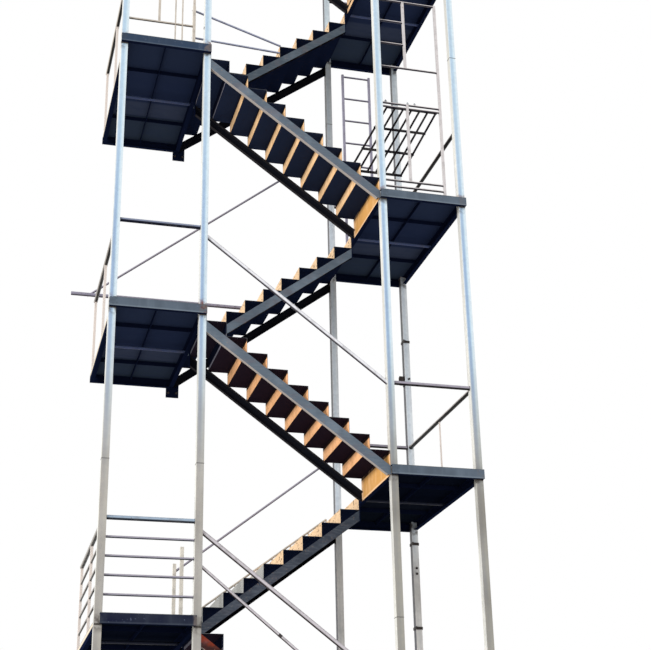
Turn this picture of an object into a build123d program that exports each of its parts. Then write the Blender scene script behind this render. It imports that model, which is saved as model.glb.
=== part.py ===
from build123d import *
import math
import os

# External steel half-turn stair: front and back flights between left and right landings.
# x runs along the wall, y into the wall, z up. Sizes are in millimetres.
# The origin is under the middle of the first front post's foot plate.

# Levels and steps
riser = 170
risers_per_flight = 10
storeys = 4

# Plan, between post centres
landing_bay = 990
flight_bay = 2140
post_row_gap = 2280
flight_width = 1110

# Posts and their feet
post_size = 80
post_wall = 4
base_plate_size = 200
base_plate_thickness = 12
anchor_hole_spacing = 140
anchor_hole_diameter = 18

# Landing frames: channels with the web outside, angles below the deck
beam_depth = 100
beam_flange = 50
beam_thickness = 5
first_beam_lap = 25
left_side_inset = 40
rib_size = 50
rib_thickness = 5
rib_bays = 4
landing_tube_diameter = 34
deck_thickness = 5
post_gap = 1

# Flights: two channels with folded plate steps on top
stringer_depth = 100
stringer_flange = 50
stringer_thickness = 5
step_plate = 4
hanger_thickness = 8
hanger_width = 70
hanger_overlap = 10

# Brackets that tie the left landings to the wall
bracket_width = 160
bracket_drop = 120
bracket_thickness = 10
bracket_hole_spacing = 100
bracket_hole_diameter = 14

# Guards and handrails
guard_height = 980
guard_spacing = 195
mid_rail_count = 4
top_rail_diameter = 48
thin_rail_diameter = 27
left_guard_inset = 20
mid_rail_diameter = 34
upright_size = 30
upright_step = 1150
newel_size = 40
newel_inset = 5
tread_newel_setback = 90
tread_newel_height = 880
handrail_drop = 110
mid_rail_drop = 470
low_rail_height = 150
baluster_size = 16
low_rail_diameter = 24
wall_rail_overhang = 300
wall_rail_length = 2210
wall_handrail_low = 968
wall_handrail_high = 785
brace_diameter = 27
brace_start_x = -90
brace_top_height = 1820
contact_gap = 0.3
cut_overrun = 1

# Front guard of the third left landing: (place along the bay, width, foot) of each stile
bay_panel_rail = 280
bay_panel_stiles = [(0.4, 27, 280), (0.615, 16, 0), (0.707, 16, 0), (0.863, 27, 0)]

# Loose frame tied to the front of the third right landing, with a fallen flight guard behind it
frame_stile = 30
frame_height = 2820
frame_end = 0.813
frame_middle = 0.379
frame_foot_rails = [110, 192]
frame_guard_rails = [1222, 1272]
frame_head_rails = [1805, 2806]
frame_rungs = [2155, 2490]
panel_bars = 7
panel_bar_width = 28
panel_bar_pitch = 106
panel_thickness = 16
panel_foot = 286
panel_lean = 0.525
panel_rails = [280, 595, 910, 1226]
panel_tread = 2

# Ladder frame stood on the same landing, and two tubes lying on flight 7
ladder_inset = 30
ladder_width = 370
ladder_setback = 780
ladder_height = 2600
ladder_pitch = 345
ladder_rungs = 8
ladder_first_rung = 155
tall_newel_height = 1410
tube_tread = 4
tube_foot_inset = 15
level_tube_start = 945
level_tube_end = 922
leaning_tube_start = 1378

# Worked out from the sizes above
half_post = post_size / 2
half_storey = riser * risers_per_flight
storey = 2 * half_storey
post_x = [0, landing_bay, landing_bay + flight_bay, 2 * landing_bay + flight_bay]
flight_start_x = post_x[1] + half_post
flight_end_x = post_x[2] - half_post
going = (flight_end_x - flight_start_x) / (risers_per_flight - 1)
slope = math.atan2(riser, going)
front_face_y = -half_post
back_face_y = post_row_gap + half_post
well_y = (front_face_y + back_face_y) / 2
landing_front_y = front_face_y - beam_flange
landing_back_y = back_face_y + beam_flange
frame_depth = deck_thickness + beam_depth
stringer_height = stringer_depth / math.cos(slope)

left_levels = [storey * n for n in range(1, storeys + 1)]
right_levels = [storey * n + half_storey for n in range(storeys)]


def block(x0, x1, y0, y1, z0, z1):
    """Box between two corners."""
    return Pos(x0, y0, z0) * Box(x1 - x0, y1 - y0, z1 - z0, align=Align.MIN)


def rod(start, end, diameter):
    """Round bar or tube between two points."""
    a, b = Vector(*start), Vector(*end)
    plane = Plane(origin=a, z_dir=b - a)
    return extrude(plane * Circle(diameter / 2), (b - a).length)


def side_profile(points, y0, y1):
    """Plate with a side outline of (x, z) points, from y0 to y1."""
    face = make_face(Plane.XZ * Polyline(*points, close=True))
    return Pos(0, y0, 0) * extrude(face, y1 - y0, dir=(0, 1, 0))


def save(name, *shapes):
    """Writes one sub-part as a group of solids."""
    solids = [solid for shape in shapes for solid in shape.solids()]
    export_step(Compound(children=[Solid(solid.wrapped) for solid in solids]), f"parts/{name}.step")


# Posts

def post(x, y, height):
    """Square tube standing on its base plate."""
    shell = block(x - half_post, x + half_post, y - half_post, y + half_post, base_plate_thickness, height)
    inner = half_post - post_wall
    return shell - block(x - inner, x + inner, y - inner, y + inner, 0, height + post_size)


def base_plate(x, y):
    """Foot plate with an anchor hole near each corner."""
    plate = Pos(x, y, 0) * Box(base_plate_size, base_plate_size, base_plate_thickness,
                               align=(Align.CENTER, Align.CENTER, Align.MIN))
    hole = Cylinder(anchor_hole_diameter / 2, 3 * base_plate_thickness)
    return plate - [Pos(x, y, 0) * spot * hole
                    for spot in GridLocations(anchor_hole_spacing, anchor_hole_spacing, 2, 2)]


# Landings

def channel(length, depth, flange, thickness):
    """Channel along +x with its web at y = 0 and its flanges towards +y, hanging below z = 0."""
    outer = block(0, length, 0, flange, -depth, 0)
    return outer - block(-cut_overrun, length + cut_overrun, thickness, flange + cut_overrun,
                         thickness - depth, -thickness)


def angle_bar(length, size, thickness):
    """Equal angle along +x with its flat leg on top, hanging below z = 0."""
    outer = block(0, length, 0, size, -size, 0)
    return outer - block(-cut_overrun, length + cut_overrun, thickness, size + cut_overrun,
                         -size - cut_overrun, -thickness)


def beam(length):
    return channel(length, beam_depth, beam_flange, beam_thickness)


def landing_frame(x_left, x_right, level, side_end_y, inset, lap=post_size):
    """Channels round the landing, with angle ribs across it. Side channels end at side_end_y.
    The left one stands back from the post's outer face by the inset. The front one laps on the posts."""
    top = level - deck_thickness
    side_length = side_end_y - half_post
    short = post_size - lap
    front = Pos(x_left + short, landing_front_y, top) * beam(x_right - x_left - 2 * short)
    x_side = x_left + inset
    left = Pos(x_side, side_end_y, top) * Rot(0, 0, -90) * beam(side_length)
    right = Pos(x_right, half_post, top) * Rot(0, 0, 90) * beam(side_length)
    back = Pos(x_right, landing_back_y, top) * Rot(0, 0, 180) * beam(x_right - x_side)
    inside = x_right - x_side - 2 * beam_flange
    pitch = (side_end_y - half_post) / rib_bays
    ribs = [Pos(x_side + beam_flange, half_post + pitch * n, top) * angle_bar(inside, rib_size, rib_thickness)
            for n in range(1, rib_bays) if n != rib_bays / 2]
    middle = (x_left + x_right) / 2
    spine = block(middle, middle + rib_thickness, half_post, back_face_y, top - rib_size, top)
    return [front, left + right + back + ribs + spine]


def landing_tube(x_left, x_right, level, side_end_y):
    """Round tube across the middle of a landing, between the side channels' webs and under the spine."""
    y = (half_post + side_end_y) / 2
    z = level - deck_thickness - rib_size - landing_tube_diameter / 2
    return rod((x_left + beam_thickness, y, z), (x_right - beam_thickness, y, z), landing_tube_diameter)


def deck(x_left, x_right, level, posts, lap=post_size):
    """Deck plate, cut round the posts that pass it, and as wide as the front channel before them."""
    plate = block(x_left, x_right, landing_front_y, landing_back_y, level - deck_thickness, level)
    reach = half_post + post_gap
    plate -= [block(x - reach, x + reach, y - reach, y + reach, level - post_size, level + post_size)
              for x, y in posts]
    if lap == post_size:
        return plate
    front = [x for x, y in posts]
    inner = block(min(front) + half_post - lap, max(front) - half_post + lap,
                  landing_front_y, front_face_y, level - post_size, level + post_size)
    return plate - (block(x_left - reach, x_right + reach, landing_front_y - reach, front_face_y,
                          level - post_size, level + post_size) - inner)


def wall_bracket(x_right, level):
    """Plate bolted to the wall below the back right corner of a left landing."""
    z_low = level - frame_depth - bracket_drop
    plate = block(x_right - bracket_width / 2, x_right + bracket_width / 2,
                  landing_back_y, landing_back_y + bracket_thickness, z_low, level - deck_thickness)
    seat = block(x_right - bracket_width / 2, x_right, back_face_y, landing_back_y,
                 level - frame_depth - bracket_thickness, level - frame_depth)
    hole = Rot(90, 0, 0) * Cylinder(bracket_hole_diameter / 2, 4 * bracket_thickness)
    hole_z = z_low + bracket_drop / 2
    holes = [Pos(x_right + dx * bracket_hole_spacing / 2, landing_back_y, hole_z) * hole for dx in (-1, 1)]
    return plate + seat - holes


# Flights

def step_outline(x_high, z_high, way, lap):
    """Side outline of the folded steps, going down from (x_high, z_high) along x in the way given."""
    upper = [(0, 0), (step_plate, 0)]
    lower = [(0, 0)]
    for n in range(1, risers_per_flight):
        upper.append((step_plate if n == 1 else going * (n - 1), -riser * n))
        upper.append((going * n, -riser * n))
        lower.append((0 if n == 1 else going * (n - 1) - step_plate, -riser * n - step_plate))
        lower.append((going * n - step_plate, -riser * n - step_plate))
    end = -half_storey - lap
    upper.append((going * (risers_per_flight - 1), end))
    lower.append((going * (risers_per_flight - 1) - step_plate, end))
    outline = upper + lower[:0:-1]
    return [(x_high + way * x, z_high + z) for x, z in outline]


def folded_steps(x_high, z_high, way, y0, y1, lap):
    return side_profile(step_outline(x_high, z_high, way, lap), y0, y1)


def stringer(x_high, z_high, way, y_web, inward, z_foot):
    """Sloping channel under the steps, cut upright at both ends and level at z_foot."""
    pitch = riser / going
    top_high = z_high - riser - step_plate - step_plate * pitch
    run = going * (risers_per_flight - 1) - step_plate
    fall = run * pitch

    def slab(inset, y0, y1):
        grow = cut_overrun if inset else 0
        lift = inset / math.cos(slope)
        corners = [(-grow, top_high - lift + grow * pitch),
                   (run + grow, top_high - fall - lift - grow * pitch),
                   (run + grow, top_high - fall - stringer_height + lift - grow * pitch),
                   (-grow, top_high - stringer_height + lift + grow * pitch)]
        return side_profile([(x_high + way * x, z) for x, z in corners], min(y0, y1), max(y0, y1))

    body = slab(0, y_web, y_web + inward * stringer_flange)
    hollow = slab(stringer_thickness, y_web + inward * stringer_thickness,
                  y_web + inward * (stringer_flange + cut_overrun))
    below = block(min(post_x) - storey, max(post_x) + storey, landing_front_y - storey,
                  landing_back_y + storey, z_foot - storey, z_foot)
    return body - hollow - below


def hanger(x_face, side, y_middle, level):
    """Plate below a landing's edge that carries the top end of a stringer."""
    z_low = level - riser - step_plate - stringer_height - hanger_overlap
    x_far = x_face + side * hanger_thickness
    return block(min(x_face, x_far), max(x_face, x_far), y_middle - hanger_width / 2,
                 y_middle + hanger_width / 2, z_low, level - frame_depth)


# Guards

def rails_across(x0, x1, y, level, heights):
    """Level rails along x; the highest is the top rail."""
    return [rod((x0, y, level + h), (x1, y, level + h), rail_diameter(h)) for h in heights]


def rail_diameter(height):
    return top_rail_diameter if height == guard_height else thin_rail_diameter


def side_guard(x, y0, y1, level, heights):
    """Guard along y: rails joined by uprights that stand on the deck."""
    rails = [rod((x, y0, level + h), (x, y1, level + h), rail_diameter(h)) for h in heights]
    half = upright_size / 2
    places = [y1 - half - top_rail_diameter / 2]
    if y1 - y0 > upright_step:
        places.append((y0 + y1) / 2)
    uprights = [block(x - half, x + half, y - half, y + half, level, level + guard_height) for y in places]
    return rails[0].fuse(*rails[1:], *uprights)


def slope_rail(y, start, end, diameter):
    """Round rail between two (x, z) points, its ends cut upright."""
    (x0, z0), (x1, z1) = start, end
    pitch = (z1 - z0) / (x1 - x0)
    rail = rod((x0 - diameter, y, z0 - diameter * pitch), (x1 + diameter, y, z1 + diameter * pitch), diameter)
    z_low, z_high = min(z0, z1) - storey, max(z0, z1) + storey
    return rail & block(x0, x1, y - diameter, y + diameter, z_low, z_high)


def low_rail(z_high, y):
    """Thin rail above the steps of a back flight, on a short baluster on each tread."""
    half = baluster_size / 2
    feet = [(flight_end_x - going * (n - 0.5), z_high - riser * n) for n in range(1, risers_per_flight)]
    stands = [block(x - half, x + half, y - half, y + half, z, z + low_rail_height) for x, z in feet]
    (x_high, z_top), (x_low, z_bottom) = feet[0], feet[-1]
    rise = low_rail_height
    rail = rod((x_low, y, z_bottom + rise), (x_high, y, z_top + rise), low_rail_diameter)
    return rail.fuse(*stands)


def newel(x_edge, y, level, height):
    """Square post on a landing, beside its flights."""
    x0 = x_edge - newel_inset - newel_size
    return block(x0, x0 + newel_size, y - newel_size / 2, y + newel_size / 2, level, level + height)


def bay_panel(x0, bay, level):
    """Top rail with stiles below it and one low rail, from the post face at x0 along the bay."""
    places = [(x0 + bay * share, size, foot) for share, size, foot in bay_panel_stiles]
    stiles = [block(x - size / 2, x + size / 2, -size / 2, size / 2, level + foot, level + guard_height)
              for x, size, foot in places]
    low = rod((x0, 0, level + bay_panel_rail), (places[-1][0], 0, level + bay_panel_rail), thin_rail_diameter)
    top = rod((x0, 0, level + guard_height), (x0 + bay, 0, level + guard_height), top_rail_diameter)
    return top.fuse(low, *stiles)


# Loose frames

def upright_frame(x_post, bay, level):
    """Tall stile on the deck, with level rails to the post and a middle stile between the rails."""
    half = frame_stile / 2
    y = half_post - half
    x_end, x_middle = x_post + bay * frame_end, x_post + bay * frame_middle

    def stile(x, z0, z1):
        return block(x - half, x + half, y - half, y + half, level + z0, level + z1)

    def rail(x, height):
        return rod((x_post + half_post, y, level + height), (x, y, level + height), thin_rail_diameter)

    middle_low = stile(x_middle, frame_foot_rails[1], frame_guard_rails[1])
    middle_high = stile(x_middle, *frame_head_rails)
    rails = [rail(x_end, height) for height in frame_foot_rails + frame_guard_rails + frame_head_rails]
    rungs = [rail(x_middle, height) for height in frame_rungs]
    return stile(x_end, 0, frame_height).fuse(middle_low, middle_high, *rails, *rungs)


def leaning_panel(x_step, level):
    """Flight guard set down with its rails level, so its bars lean. Its left end stands on a tread."""
    y0 = half_post + contact_gap
    y1 = y0 + panel_thickness
    half = thin_rail_diameter / 2
    z_foot, z_head = panel_rails[0], panel_rails[-1]
    x_first = x_step + panel_foot
    rise = panel_lean * (z_head - z_foot)
    pieces = []
    for n in range(panel_bars):
        x = x_first - panel_bar_pitch * n
        corners = [(x, z_foot), (x + panel_bar_width, z_foot),
                   (x + panel_bar_width + rise, z_head), (x + rise, z_head)]
        pieces.append(side_profile([(px, level + z) for px, z in corners], y0, y1))
    width = panel_bar_pitch * (panel_bars - 1)
    for z in panel_rails:
        x_right = x_first + panel_lean * (z - z_foot) + panel_bar_width
        pieces.append(block(x_right - width - panel_bar_width, x_right, y0, y1,
                            level + z - half, level + z + half))
    x_tread = x_step - going * (panel_tread - 1) + contact_gap
    steps = block(x_first - 2 * width, x_tread, y0 - cut_overrun, y1 + cut_overrun,
                  level - storey, level + riser * panel_tread)
    return pieces[0].fuse(*pieces[1:]) - steps


def ladder_frame(x0, y, level):
    """Two stiles on the deck joined by rungs."""
    half = frame_stile / 2
    x1 = x0 + ladder_width
    stiles = [block(x - half, x + half, y - half, y + half, level, level + ladder_height) for x in (x0, x1)]
    heights = [level + ladder_first_rung + ladder_pitch * n for n in range(ladder_rungs)]
    return stiles[0].fuse(stiles[1], *[rod((x0, y, z), (x1, y, z), low_rail_diameter) for z in heights])


def loose_tubes(level, y_flight):
    """Two tubes from the tall newel to a tread of the back flight: one level, one leaning down to it."""
    radius = thin_rail_diameter / 2
    x0 = flight_start_x - newel_inset - newel_size
    y0 = well_y + newel_size / 2 + radius + contact_gap
    y1 = y_flight + radius + contact_gap
    x_riser = flight_end_x - going * tube_tread
    z_tread = level + half_storey - riser * tube_tread
    level_tube = rod((x0, y0, level + level_tube_start),
                     (x_riser + newel_size, y1, level + level_tube_end), thin_rail_diameter)
    past_riser = block(x_riser, x_riser + storey, y0 - storey, y1 + storey, level, z_tread + storey)
    x_foot = x_riser + tube_foot_inset
    lean = math.atan2(level + leaning_tube_start - z_tread, x_foot - x0)
    leaning_tube = rod((x0, y0, level + leaning_tube_start),
                       (x_foot, y1, z_tread + radius * math.cos(lean)), thin_rail_diameter)
    return [level_tube - past_riser, leaning_tube]


all_rails = [guard_spacing * n for n in range(1, mid_rail_count + 1)] + [guard_height]
top_only = [guard_height]


def build_posts():
    left_top = left_levels[-1] + guard_height + top_rail_diameter
    right_top = right_levels[-1] + guard_height + top_rail_diameter
    front_names = ["front_post_left_outer", "front_post_left_inner",
                   "front_post_right_inner", "front_post_right_outer"]
    for name, x, top in zip(front_names, post_x, [left_top, left_top, right_top, right_top]):
        save(name, post(x, 0, top))
    for name, x in zip(["back_post_right_inner", "back_post_right_outer"], post_x[2:]):
        save(name, post(x, post_row_gap, right_top))
    feet = [(x, 0) for x in post_x] + [(x, post_row_gap) for x in post_x[2:]]
    save("base_plates", *[base_plate(x, y) for x, y in feet])


def build_landings():
    left_edges = (post_x[0] - half_post, post_x[1] + half_post)
    left_deck_edges = (left_edges[0] + left_side_inset, left_edges[1])
    right_edges = (post_x[2] - half_post, post_x[3] + half_post)
    right_end = post_row_gap - half_post
    for number, level in enumerate(left_levels, 1):
        lap = first_beam_lap if number == 1 else post_size
        save(f"left_landing_frame_{number}",
             *landing_frame(*left_edges, level, back_face_y, left_side_inset, lap))
    for number, level in enumerate(right_levels):
        save(f"right_landing_frame_{number}",
             *landing_frame(*right_edges, level, right_end, 0))
    front = [(x, 0) for x in post_x]
    back = [(x, post_row_gap) for x in post_x[2:]]
    save("left_landing_decks", deck(*left_deck_edges, left_levels[0], front[:2], first_beam_lap),
         *[deck(*left_deck_edges, level, front[:2]) for level in left_levels[1:]])
    save("right_landing_decks", *[deck(*right_edges, level, front[2:] + back) for level in right_levels])
    save("landing_tubes", *[landing_tube(*left_deck_edges, level, back_face_y) for level in left_levels],
         *[landing_tube(*right_edges, level, right_end) for level in right_levels])
    save("wall_brackets", *[wall_bracket(flight_start_x, level) for level in left_levels])


def build_flights():
    hangers = []
    for n in range(2 * storeys):
        z_low = half_storey * n
        z_high = z_low + half_storey
        at_front = n % 2 == 1
        y0 = front_face_y if at_front else back_face_y - flight_width
        y1 = y0 + flight_width
        x_high, way = (flight_start_x, 1) if at_front else (flight_end_x, -1)
        on_ground = n == 0
        lap = 0 if on_ground else frame_depth
        z_foot = z_low - lap
        save(f"flight_{n + 1}_steps", folded_steps(x_high, z_high, way, y0, y1, lap))
        save(f"flight_{n + 1}_stringers", stringer(x_high, z_high, way, y0, 1, z_foot),
             stringer(x_high, z_high, way, y1, -1, z_foot))
        free_side = y1 - stringer_flange / 2 if at_front else y0 + stringer_flange / 2
        hangers.append(hanger(x_high, -way, free_side, z_high))
    save("stringer_hangers", *hangers)


def build_guards():
    bay = (post_x[0] + half_post, post_x[1] - half_post)
    right_bay = (post_x[2] + half_post, post_x[3] - half_post)
    side_start = half_post
    left_end = landing_back_y - upright_size
    for number, level in enumerate(left_levels, 1):
        heights = all_rails if number in (1, 4) else top_only
        front = rails_across(*bay, 0, level, heights)
        if number == 3:
            front = [bay_panel(bay[0], bay[1] - bay[0], level)]
        save(f"left_guard_{number}", *front,
             side_guard(post_x[0] + left_guard_inset, side_start, left_end, level, heights))
    middle_y = post_row_gap / 2
    half = baluster_size / 2
    for number, level in enumerate(right_levels):
        side = rod((post_x[3], side_start, level + guard_height),
                   (post_x[3], post_row_gap - half_post, level + guard_height), top_rail_diameter)
        if number == 1:
            side += block(post_x[3] - half, post_x[3] + half, middle_y - half, middle_y + half,
                          level, level + guard_height)
        front = [] if number == 2 else rails_across(*right_bay, 0, level, top_only)
        save(f"right_guard_{number}", *front, side, *rails_across(*right_bay, post_row_gap, level, top_only))


def build_handrails():
    upper, lower = left_levels, right_levels
    for flight, floor in ((2, 0), (4, 1), (8, 3)):
        high = (flight_start_x, upper[floor] + guard_height - handrail_drop)
        low = (flight_end_x, lower[floor] + guard_height)
        rails = [slope_rail(0, high, low, top_rail_diameter)]
        if flight != 4:
            shift = mid_rail_drop - handrail_drop
            rails.append(slope_rail(0, (high[0], high[1] - shift), (low[0], low[1] - shift - handrail_drop),
                                    mid_rail_diameter))
        save(f"handrail_flight_{flight}", *rails)
    wall_side = back_face_y - stringer_flange
    save("low_rails", *[low_rail(lower[floor], wall_side) for floor in (0, 1)])


def build_wall_side_rails():
    places = [(well_y, 0, guard_height), (well_y, 2, tall_newel_height), (well_y, 3, guard_height),
              (post_row_gap, 1, guard_height)]
    x_tread_newel = flight_start_x + tread_newel_setback
    on_tread = newel(x_tread_newel + newel_inset, post_row_gap, left_levels[0] + riser, tread_newel_height)
    save("landing_newels", on_tread,
         *[newel(flight_start_x, y, left_levels[n], height) for y, n, height in places])
    foot = (x_tread_newel, left_levels[0] + wall_handrail_low)
    head = (flight_end_x, right_levels[1] + wall_handrail_high)
    handrail = slope_rail(post_row_gap, foot, head, brace_diameter)
    rail_y = post_row_gap - (brace_diameter + top_rail_diameter) / 2 - contact_gap
    rail_z = left_levels[1] + guard_height + top_rail_diameter
    rail_start = -wall_rail_overhang
    save("wall_rail", rod((rail_start, rail_y, rail_z), (rail_start + wall_rail_length, rail_y, rail_z),
                          top_rail_diameter))
    top = (flight_end_x, right_levels[2] + brace_top_height)
    brace = slope_rail(post_row_gap, (brace_start_x, rail_z), top, brace_diameter)
    save("wall_side_slope_rails", handrail, brace)


def build_loose_frames():
    level = right_levels[2]
    save("loose_front_frame", upright_frame(post_x[2], landing_bay, level))
    save("loose_leaning_panel", leaning_panel(flight_end_x, level))
    ladder_y = post_row_gap - ladder_setback
    save("loose_ladder_frame", ladder_frame(flight_end_x + ladder_inset, ladder_y, level))
    save("loose_tubes", *loose_tubes(left_levels[2], back_face_y - flight_width))


os.makedirs("parts", exist_ok=True)
build_posts()
build_landings()
build_flights()
build_guards()
build_handrails()
build_wall_side_rails()
build_loose_frames()
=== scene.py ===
import math

import bpy
from mathutils import Matrix, Vector


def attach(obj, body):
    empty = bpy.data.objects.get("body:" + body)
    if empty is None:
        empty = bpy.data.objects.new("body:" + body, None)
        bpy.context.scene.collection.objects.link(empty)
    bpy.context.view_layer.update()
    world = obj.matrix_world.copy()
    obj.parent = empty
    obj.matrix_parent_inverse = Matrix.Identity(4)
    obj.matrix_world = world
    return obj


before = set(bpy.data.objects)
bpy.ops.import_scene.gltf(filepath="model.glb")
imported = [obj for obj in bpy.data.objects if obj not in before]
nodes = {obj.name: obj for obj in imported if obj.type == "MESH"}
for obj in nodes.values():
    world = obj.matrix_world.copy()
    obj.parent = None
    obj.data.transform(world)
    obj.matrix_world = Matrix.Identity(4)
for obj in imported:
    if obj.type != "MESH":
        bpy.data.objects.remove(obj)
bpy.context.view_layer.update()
print("frame loaded:", len(nodes), "nodes")

scene = bpy.context.scene
scene.view_settings.view_transform = "Standard"

# Places of the frame, in metres
stair = {
    "postX": (0.0, 0.99, 3.13, 4.12),
    "postGap": 0.99,        # between the two posts of a landing
    "backRow": 2.28,
    "halfPost": 0.04,
    "halfStorey": 1.7,
    "leftLevels": (3.4, 6.8, 10.2, 13.6),
    "rightLevels": (1.7, 5.1, 8.5, 11.9),
    "openLevel": 8.5,       # the landing without a rail in front
    "sideRailX": 0.02,      # side rails of the left guards
    "beamBottom": 0.105,    # below the level
    "postTops": (14.628, 12.928),    # left and right
    "footPlate": 0.012,
}
firstX, secondX, thirdX, lastX = stair["postX"]
halfStorey = stair["halfStorey"]

# Camera, matched to the photograph from low down in front of the left end
camera = {
    "place": (-1.318, -13.490, 0.827),
    "turn": 0.2686,   # to the right of straight ahead, radians
    "tilt": 0.3982,   # upwards
    "roll": -0.0204,
    "focalPixels": 1346.43,
    "imageWidth": 651,
    "sensor": 36.0,
    "reach": 200,
}


def placeCamera():
    turn, tilt, roll = camera["turn"], camera["tilt"], camera["roll"]
    forward = Vector((math.sin(turn) * math.cos(tilt), math.cos(turn) * math.cos(tilt), math.sin(tilt)))
    level = Vector((math.cos(turn), -math.sin(turn), 0))
    upright = level.cross(forward)
    right = math.cos(roll) * level + math.sin(roll) * upright
    up = math.cos(roll) * upright - math.sin(roll) * level
    data = bpy.data.cameras.new("photoCamera")
    data.sensor_width = camera["sensor"]
    data.lens = camera["sensor"] * camera["focalPixels"] / camera["imageWidth"]
    data.clip_end = camera["reach"]
    eye = bpy.data.objects.new("photoCamera", data)
    scene.collection.objects.link(eye)
    turned = Matrix((right, up, -forward)).transposed()
    eye.matrix_world = Matrix.Translation(camera["place"]) @ turned.to_4x4()
    scene.camera = eye


placeCamera()
print("camera placed")


# Small helpers for colours and nodes
def linear(code):
    parts = [int(code[n:n + 2], 16) / 255 for n in (1, 3, 5)]
    return [p / 12.92 if p <= 0.04045 else ((p + 0.055) / 1.055) ** 2.4 for p in parts] + [1.0]


def connect(tree, node, inputs):
    for socket, value in inputs.items():
        if isinstance(value, bpy.types.NodeSocket):
            tree.links.new(value, node.inputs[socket])
        else:
            node.inputs[socket].default_value = value


def addNode(tree, kind, inputs, out=0, **settings):
    node = tree.nodes.new("ShaderNode" + kind)
    for key, value in settings.items():
        setattr(node, key, value)
    connect(tree, node, inputs)
    return node.outputs[out]


smooth = {"interpolation_type": "SMOOTHSTEP"}

# A mask starts at the first value of a pair and is full at the second. These are for the
# ways that a surface faces, as shares of its normal.
facing = {
    "down": (-0.25, -0.6),
    "up": (0.4, 0.7),
    "left": (-0.4, -0.7),
    "front": (-0.4, -0.7),
}

# Limits that fold a height to the nearest level, and a place along a landing to the nearest post
levelWrap = {1: halfStorey / 2, 2: -halfStorey / 2}
postWrap = {1: stair["postGap"] / 2, 2: -stair["postGap"] / 2}


def span(pair):
    return {1: pair[0], 2: pair[1]}


def newMaterial(name):
    # spot is the place on the stair in metres, way is where the surface faces
    material = bpy.data.materials.new(name)
    material.use_nodes = True
    tree = material.node_tree
    place = addNode(tree, "TexCoord", {}, "Object")
    spot = addNode(tree, "SeparateXYZ", {0: place}).node.outputs
    way = addNode(tree, "SeparateXYZ", {0: addNode(tree, "NewGeometry", {}, "Normal")}).node.outputs
    return material, tree, tree.nodes["Principled BSDF"], place, spot, way


def perMetre(millimetres):
    return 1000 / millimetres


def allOf(tree, *shares):
    # where every share holds at once
    both = shares[0]
    for share in shares[1:]:
        both = addNode(tree, "Math", {0: both, 1: share}, operation="MULTIPLY", use_clamp=True)
    return both


def coats(tree, base, *layers):
    # colours laid over each other, each where its share says
    colour = linear(base) if isinstance(base, str) else base
    for share, code in layers:
        top = linear(code) if isinstance(code, str) else code
        colour = addNode(tree, "Mix", {0: share, 6: colour, 7: top}, 2, data_type="RGBA")
    return colour


def patches(tree, place, sizeMm, low, high, stretch=(1, 1, 1), detail=3.0):
    spread = addNode(tree, "Mapping", {"Vector": place, "Scale": stretch})
    noise = addNode(tree, "TexNoise", {"Vector": spread, "Scale": perMetre(sizeMm), "Detail": detail})
    return addNode(tree, "MapRange", {0: noise, 1: low, 2: high}, **smooth)


def relief(tree, shader, height, depthMm):
    bumped = addNode(tree, "Bump", {"Height": height, "Distance": depthMm / 1000, "Strength": 0.6})
    connect(tree, shader, {"Normal": bumped})


# Hot-dip galvanised square tube: a dull zinc skin, pale blue in front, partly a painted reflection, with a
# darker painted reflection band to the left and painted highlights at its edges; painted sunlight white on
# the left side (painted shade there on the back posts), painted shade on the faces away, warmer and greyer
# low down. Rust starts at the welds.
galvanised = {
    "front": "#CFE8F8",
    # painted reflection: a darker band down the left of the front face
    "frontBand": "#9DB9DC",
    # painted highlights at the front face's edges
    "frontEdge": "#F8FDFF",
    "backFront": "#F0F8FF",
    # painted sunlight on the left side of the front posts; shadedSide is painted shade there on the back
    # posts
    "side": "#F1EFE6",
    # painted shade on the right and back faces; also the spangle's darker tone
    "away": "#7F8A99",
    # warmer and greyer low down
    "lowTone": "#BDB5A9",
    "lowToneRight": "#A0998B",
    "lowToneBack": "#EAE6E0",
    # paler high up
    "topPale": "#E4F4FA",
    "shadedSide": "#4B484E",
    "streak": "#8B93A4",
    "rust": "#7A3F26",
    # grime low down; also the colour of the painted shade just under each landing's beam
    "grime": "#57504C",
    "spangleMm": 34,      # real spangle is about 12 mm, drawn coarser to show
    "streakMm": 55,
    "cloudMm": 420,
    "rustMm": 40,
    "shadeSmearMm": 60,
    "metal": 0.2,
    # places of the painted reflection band and painted highlights, and how the band fades with height
    "bandAcross": (0.012, -0.006),    # across the post, from its axis
    "rightEdge": (0.008, 0.026),
    "leftEdge": (-0.024, -0.036),
    "bandFades": (7.6, 9.4),          # heights on the stair
    "lowToneSpan": (6.9, 4.6),
    "paleSpan": (10.2, 12.6),
    "rustSpan": (5.5, 6.2),
    "backDrop": 1.6,                  # the back posts stay blue for longer
    "justAbove": (0.11, 0.02),        # heights from the nearest landing
    "notBelow": (-0.03, 0.0),
    # heights of the painted shade just under each landing's beam
    "underBeam": (-0.22, -0.12),
    "inBeam": (0.0, -0.05),
}


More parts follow.
